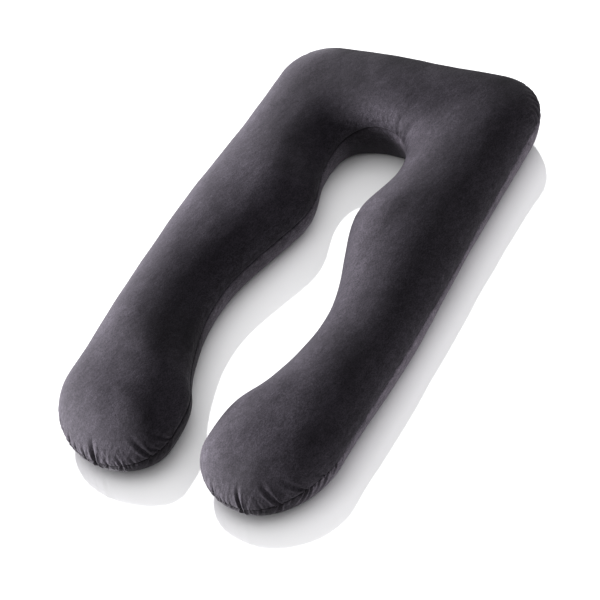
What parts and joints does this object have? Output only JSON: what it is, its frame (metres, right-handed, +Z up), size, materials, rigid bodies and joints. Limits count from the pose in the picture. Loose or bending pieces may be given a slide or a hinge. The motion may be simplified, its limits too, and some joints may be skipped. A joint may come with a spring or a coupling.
{
  "type": "u-shaped pregnancy pillow",
  "caption": "Long U-shaped body pillow for lying on, with two padded arms, a closed head end and a round neck hollow.",
  "frame": {"origin": "middle of the outline, on the surface the pillow lies on", "axes": "+Y along the pillow towards the closed head end, +Z up through its thickness, +X towards the right arm seen from above"},
  "size_m": [0.824, 1.5642, 0.219],
  "materials": {
    "velvet": "charcoal short-pile velvet, matt with a soft sheen"
  },
  "bodies": {
    "root": {"pillow": "velvet"}
  },
  "joints": []
}
